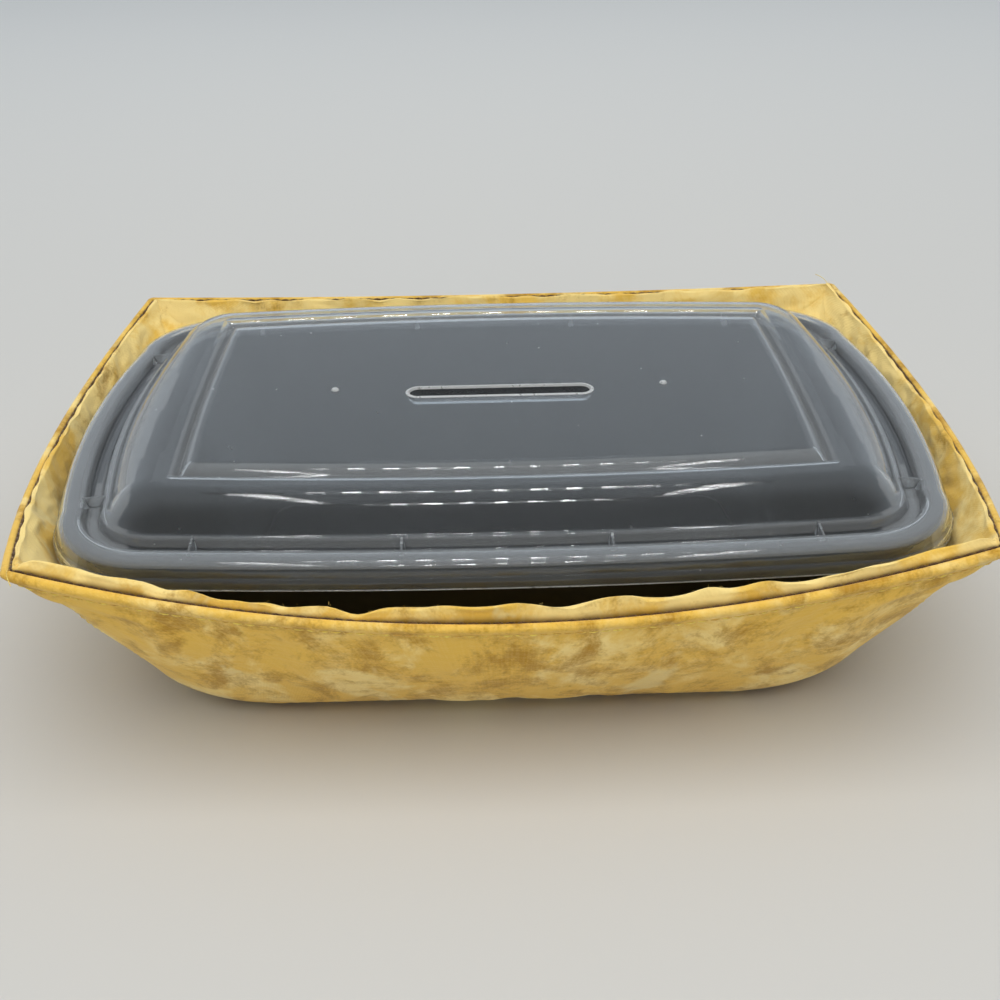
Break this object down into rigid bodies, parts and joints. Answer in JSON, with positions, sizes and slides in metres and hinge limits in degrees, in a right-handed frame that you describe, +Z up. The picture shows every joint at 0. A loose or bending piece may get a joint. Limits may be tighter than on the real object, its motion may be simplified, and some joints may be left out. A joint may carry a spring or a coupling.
{
  "type": "microwave container cozy",
  "caption": "Padded cotton cozy, rectangular with pointed rim corners, around a thin black microwave container with a clear stepped press-on lid, for holding hot food by hand.",
  "frame": {"origin": "middle of the cozy's flat base, on the surface that it stands on", "axes": "+X along the long side, +Y from the dipped front of the rim to its back, +Z up"},
  "size_m": [0.2422, 0.1742, 0.0627],
  "materials": {
    "printed_cotton": "woven cotton, mottled gold print, quilted",
    "cotton_batting": "soft needled cotton",
    "sewing_thread": "spun thread",
    "black_polypropylene": "smooth moulded",
    "clear_polypropylene": "clear, slightly hazy, glossy"
  },
  "bodies": {
    "cozy": {"outer_cover": "printed_cotton", "outer_batting": "cotton_batting", "lining_batting": "cotton_batting", "lining": "printed_cotton", "rim_needle_thread": "sewing_thread", "rim_bobbin_thread": "sewing_thread", "cover_dart_thread_front_right": "sewing_thread", "lining_dart_thread_front_right": "sewing_thread", "cover_dart_thread_back_right": "sewing_thread", "lining_dart_thread_back_right": "sewing_thread", "cover_dart_thread_back_left": "sewing_thread", "lining_dart_thread_back_left": "sewing_thread", "cover_dart_thread_front_left": "sewing_thread", "lining_dart_thread_front_left": "sewing_thread"},
    "container": {"container": "black_polypropylene"},
    "lid": {"lid": "clear_polypropylene"}
  },
  "joints": [
    {"name": "container_lift", "type": "slide", "parent": "cozy", "child": "container", "axis": [0, 0, 1], "range_m": [0, 0.075]},
    {"name": "lid_lift", "type": "slide", "parent": "container", "child": "lid", "axis": [0, 0, 1], "range_m": [0, 0.04]}
  ]
}
